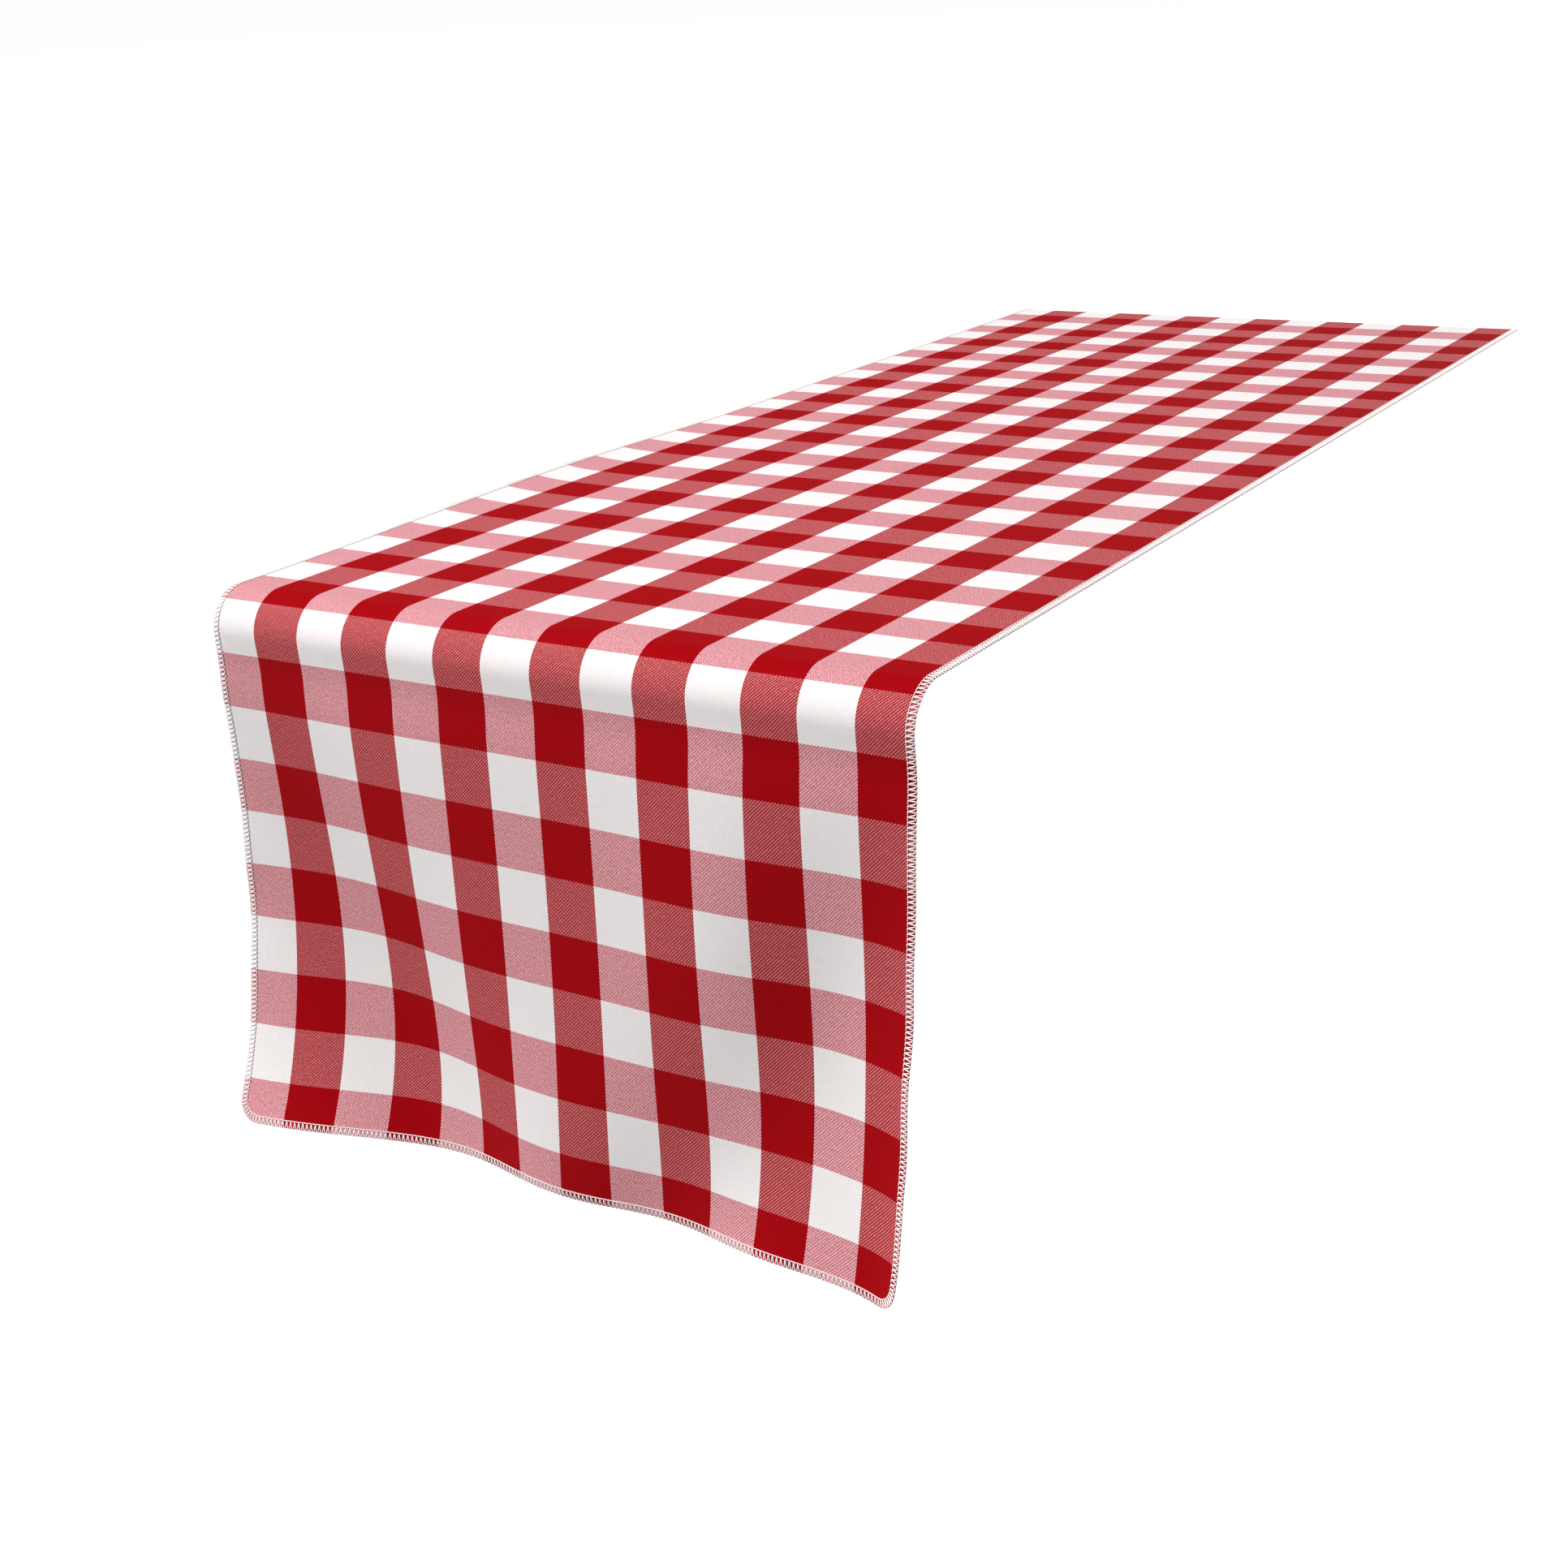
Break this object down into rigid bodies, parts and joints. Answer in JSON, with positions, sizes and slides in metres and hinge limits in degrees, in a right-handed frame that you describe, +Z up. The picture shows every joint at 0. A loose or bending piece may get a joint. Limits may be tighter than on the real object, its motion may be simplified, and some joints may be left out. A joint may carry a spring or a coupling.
{
  "type": "table runner",
  "caption": "Long narrow gingham cloth with an overlocked edge, lying flat along a table and hanging over its front end.",
  "frame": {"origin": "middle of the flat stretch, on the underside of the cloth, where it lies on the table", "axes": "+Z up out of the table, +Y along the runner from the front drop to the back hem, +X across it to the right as seen from in front"},
  "size_m": [0.3556, 0.853, 0.2513],
  "materials": {
    "gingham_cloth": "woven 2/1 twill polyester in one-inch red and white checks, matt with a slight sheen",
    "needle_thread": "spun polyester sewing thread, off-white",
    "looper_thread": "fluffy textured polyester overlock thread, off-white"
  },
  "bodies": {
    "tabletop_run": {"cloth_top_run": "gingham_cloth", "cloth_front_bend": "gingham_cloth", "cloth_back_end": "gingham_cloth", "needle_thread_left_run": "needle_thread", "needle_thread_right_run": "needle_thread", "needle_thread_back_end": "needle_thread", "upper_looper_thread_left_run": "looper_thread", "upper_looper_thread_right_run": "looper_thread", "upper_looper_thread_back_end": "looper_thread", "lower_looper_thread_left_run": "looper_thread", "lower_looper_thread_right_run": "looper_thread", "lower_looper_thread_back_end": "looper_thread"},
    "front_drop": {"cloth_front_drop": "gingham_cloth", "needle_thread_front_drop": "needle_thread", "upper_looper_thread_front_drop": "looper_thread", "lower_looper_thread_front_drop": "looper_thread"}
  },
  "joints": [
    {"name": "front_drop_lift", "type": "hinge", "parent": "tabletop_run", "child": "front_drop", "pos_m": [0, -0.41625, -0.0185], "axis": [-1, 0, 0], "range_deg": [0, 90]}
  ]
}
